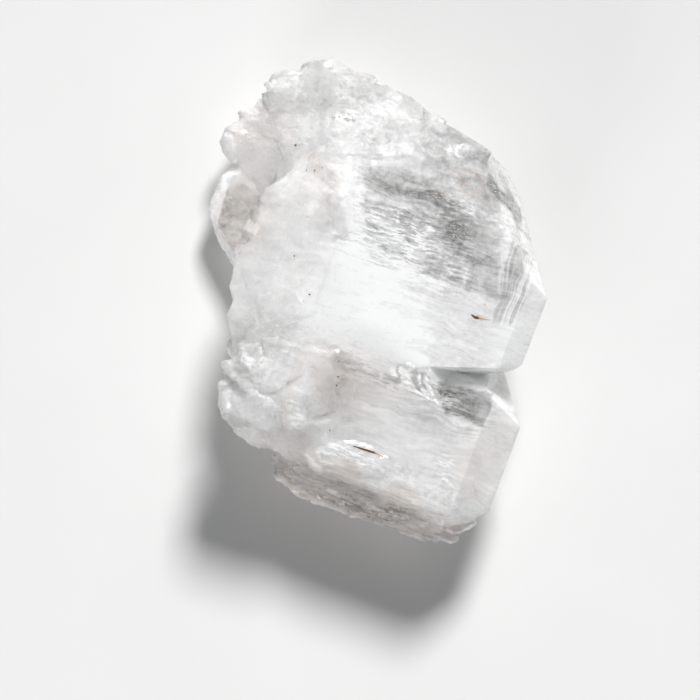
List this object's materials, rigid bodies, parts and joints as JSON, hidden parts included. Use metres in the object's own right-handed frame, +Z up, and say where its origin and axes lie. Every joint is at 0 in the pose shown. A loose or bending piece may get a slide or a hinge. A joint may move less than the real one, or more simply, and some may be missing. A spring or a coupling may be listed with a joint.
{
  "type": "faden quartz",
  "caption": "Intergrown plate of clear and milky quartz crystals with a frosted ridge, slanted tips and a broken far edge, lying on its flat underside.",
  "frame": {"origin": "on the resting face, under the middle of the piece's outline seen from above", "axes": "+Z up from the resting face; +Y along the longest side, from the layered front edge towards the broken far side; +X towards the crystals' slanted tips"},
  "size_m": [0.0488, 0.07, 0.0242],
  "materials": {
    "quartz": "clear to milky quartz, glassy on the crystal faces and frosted on the ridge and breaks",
    "iron_stain": "dull rust-brown iron oxide in needles and specks"
  },
  "bodies": {
    "root": {"faden_quartz": "quartz"}
  },
  "joints": []
}
